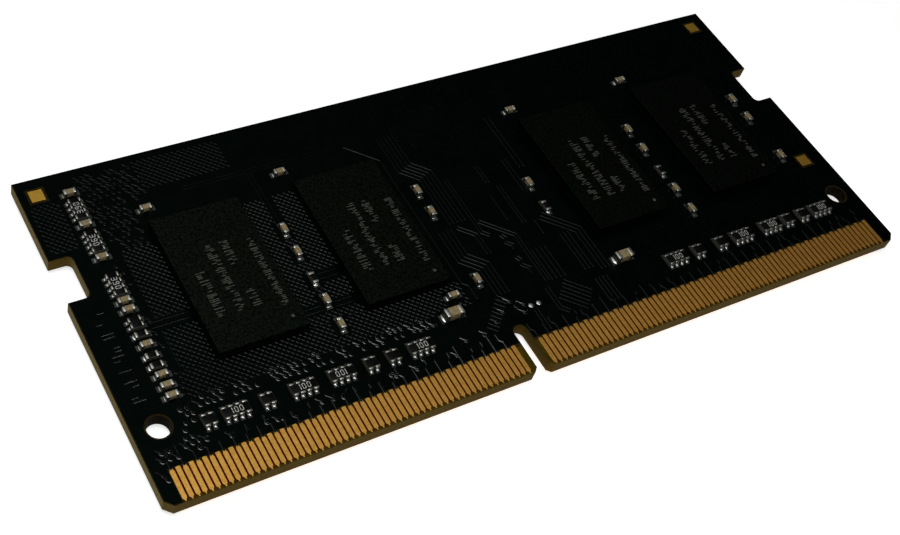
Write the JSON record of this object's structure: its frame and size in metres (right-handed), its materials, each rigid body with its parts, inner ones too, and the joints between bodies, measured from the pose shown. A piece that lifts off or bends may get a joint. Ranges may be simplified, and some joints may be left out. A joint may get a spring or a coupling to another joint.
{
  "type": "ram module",
  "caption": "Flat small-outline memory module: a notched circuit board with gold edge contacts, ball-grid memory packages and tiny passives on one face.",
  "frame": {"origin": "under the middle of the board, at the level of the lowest parts on the plain side", "axes": "+X along the contact edge, left to right seen from the package side; +Y from the contact edge to the top edge; +Z out of the package side"},
  "size_m": [0.0696, 0.03, 0.0028],
  "materials": {
    "laminate": "routed woven-glass epoxy edge",
    "solder_mask": "semi-gloss, nearly black with a green cast",
    "contact_gold": "hard gold plate, fine wiping marks",
    "moulding": "fine-grained epoxy moulding compound",
    "silicon": "ground silicon",
    "package_substrate": "thin laminate with dark mask, sawn edge",
    "solder": "bright reflowed tin solder",
    "capacitor_ceramic": "fired tan ceramic",
    "tin_plate": "matte tin plate",
    "alumina": "white alumina",
    "resistor_glaze": "black protective glaze",
    "lead_frame": "tinned copper"
  },
  "bodies": {
    "root": {"pcb_laminate": "laminate", "solder_mask_front": "solder_mask", "solder_mask_back": "solder_mask", "contacts_front_left": "contact_gold", "contacts_front_right": "contact_gold", "contacts_back_left": "contact_gold", "contacts_back_right": "contact_gold", "registration_pads": "contact_gold", "test_pads": "solder", "solder_lands_front": "solder", "solder_lands_back": "solder", "capacitor_ceramics": "capacitor_ceramic", "capacitor_terminals": "tin_plate", "bulk_capacitor_ceramics": "capacitor_ceramic", "bulk_capacitor_terminals": "tin_plate", "resistor_bodies": "alumina", "resistor_coats": "resistor_glaze", "resistor_terminals": "tin_plate", "data_array_bodies": "alumina", "data_array_coats": "resistor_glaze", "data_array_terminals": "tin_plate", "data_pair_bodies": "alumina", "data_pair_coats": "resistor_glaze", "data_pair_terminals": "tin_plate", "address_array_bodies": "alumina", "address_array_coats": "resistor_glaze", "address_array_terminals": "tin_plate", "solder_joints_front": "solder", "settings_chip_mould": "moulding", "settings_chip_die": "silicon", "settings_chip_leads": "lead_frame", "back_capacitor_ceramics": "capacitor_ceramic", "back_capacitor_terminals": "tin_plate", "back_array_bodies": "alumina", "back_array_coats": "resistor_glaze", "back_array_terminals": "tin_plate", "solder_joints_back": "solder", "memory_mould_1": "moulding", "memory_die_1": "silicon", "memory_substrate_1": "package_substrate", "memory_balls_1": "solder", "memory_mould_2": "moulding", "memory_die_2": "silicon", "memory_substrate_2": "package_substrate", "memory_balls_2": "solder", "memory_mould_3": "moulding", "memory_die_3": "silicon", "memory_substrate_3": "package_substrate", "memory_balls_3": "solder", "memory_mould_4": "moulding", "memory_die_4": "silicon", "memory_substrate_4": "package_substrate", "memory_balls_4": "solder"}
  },
  "joints": []
}
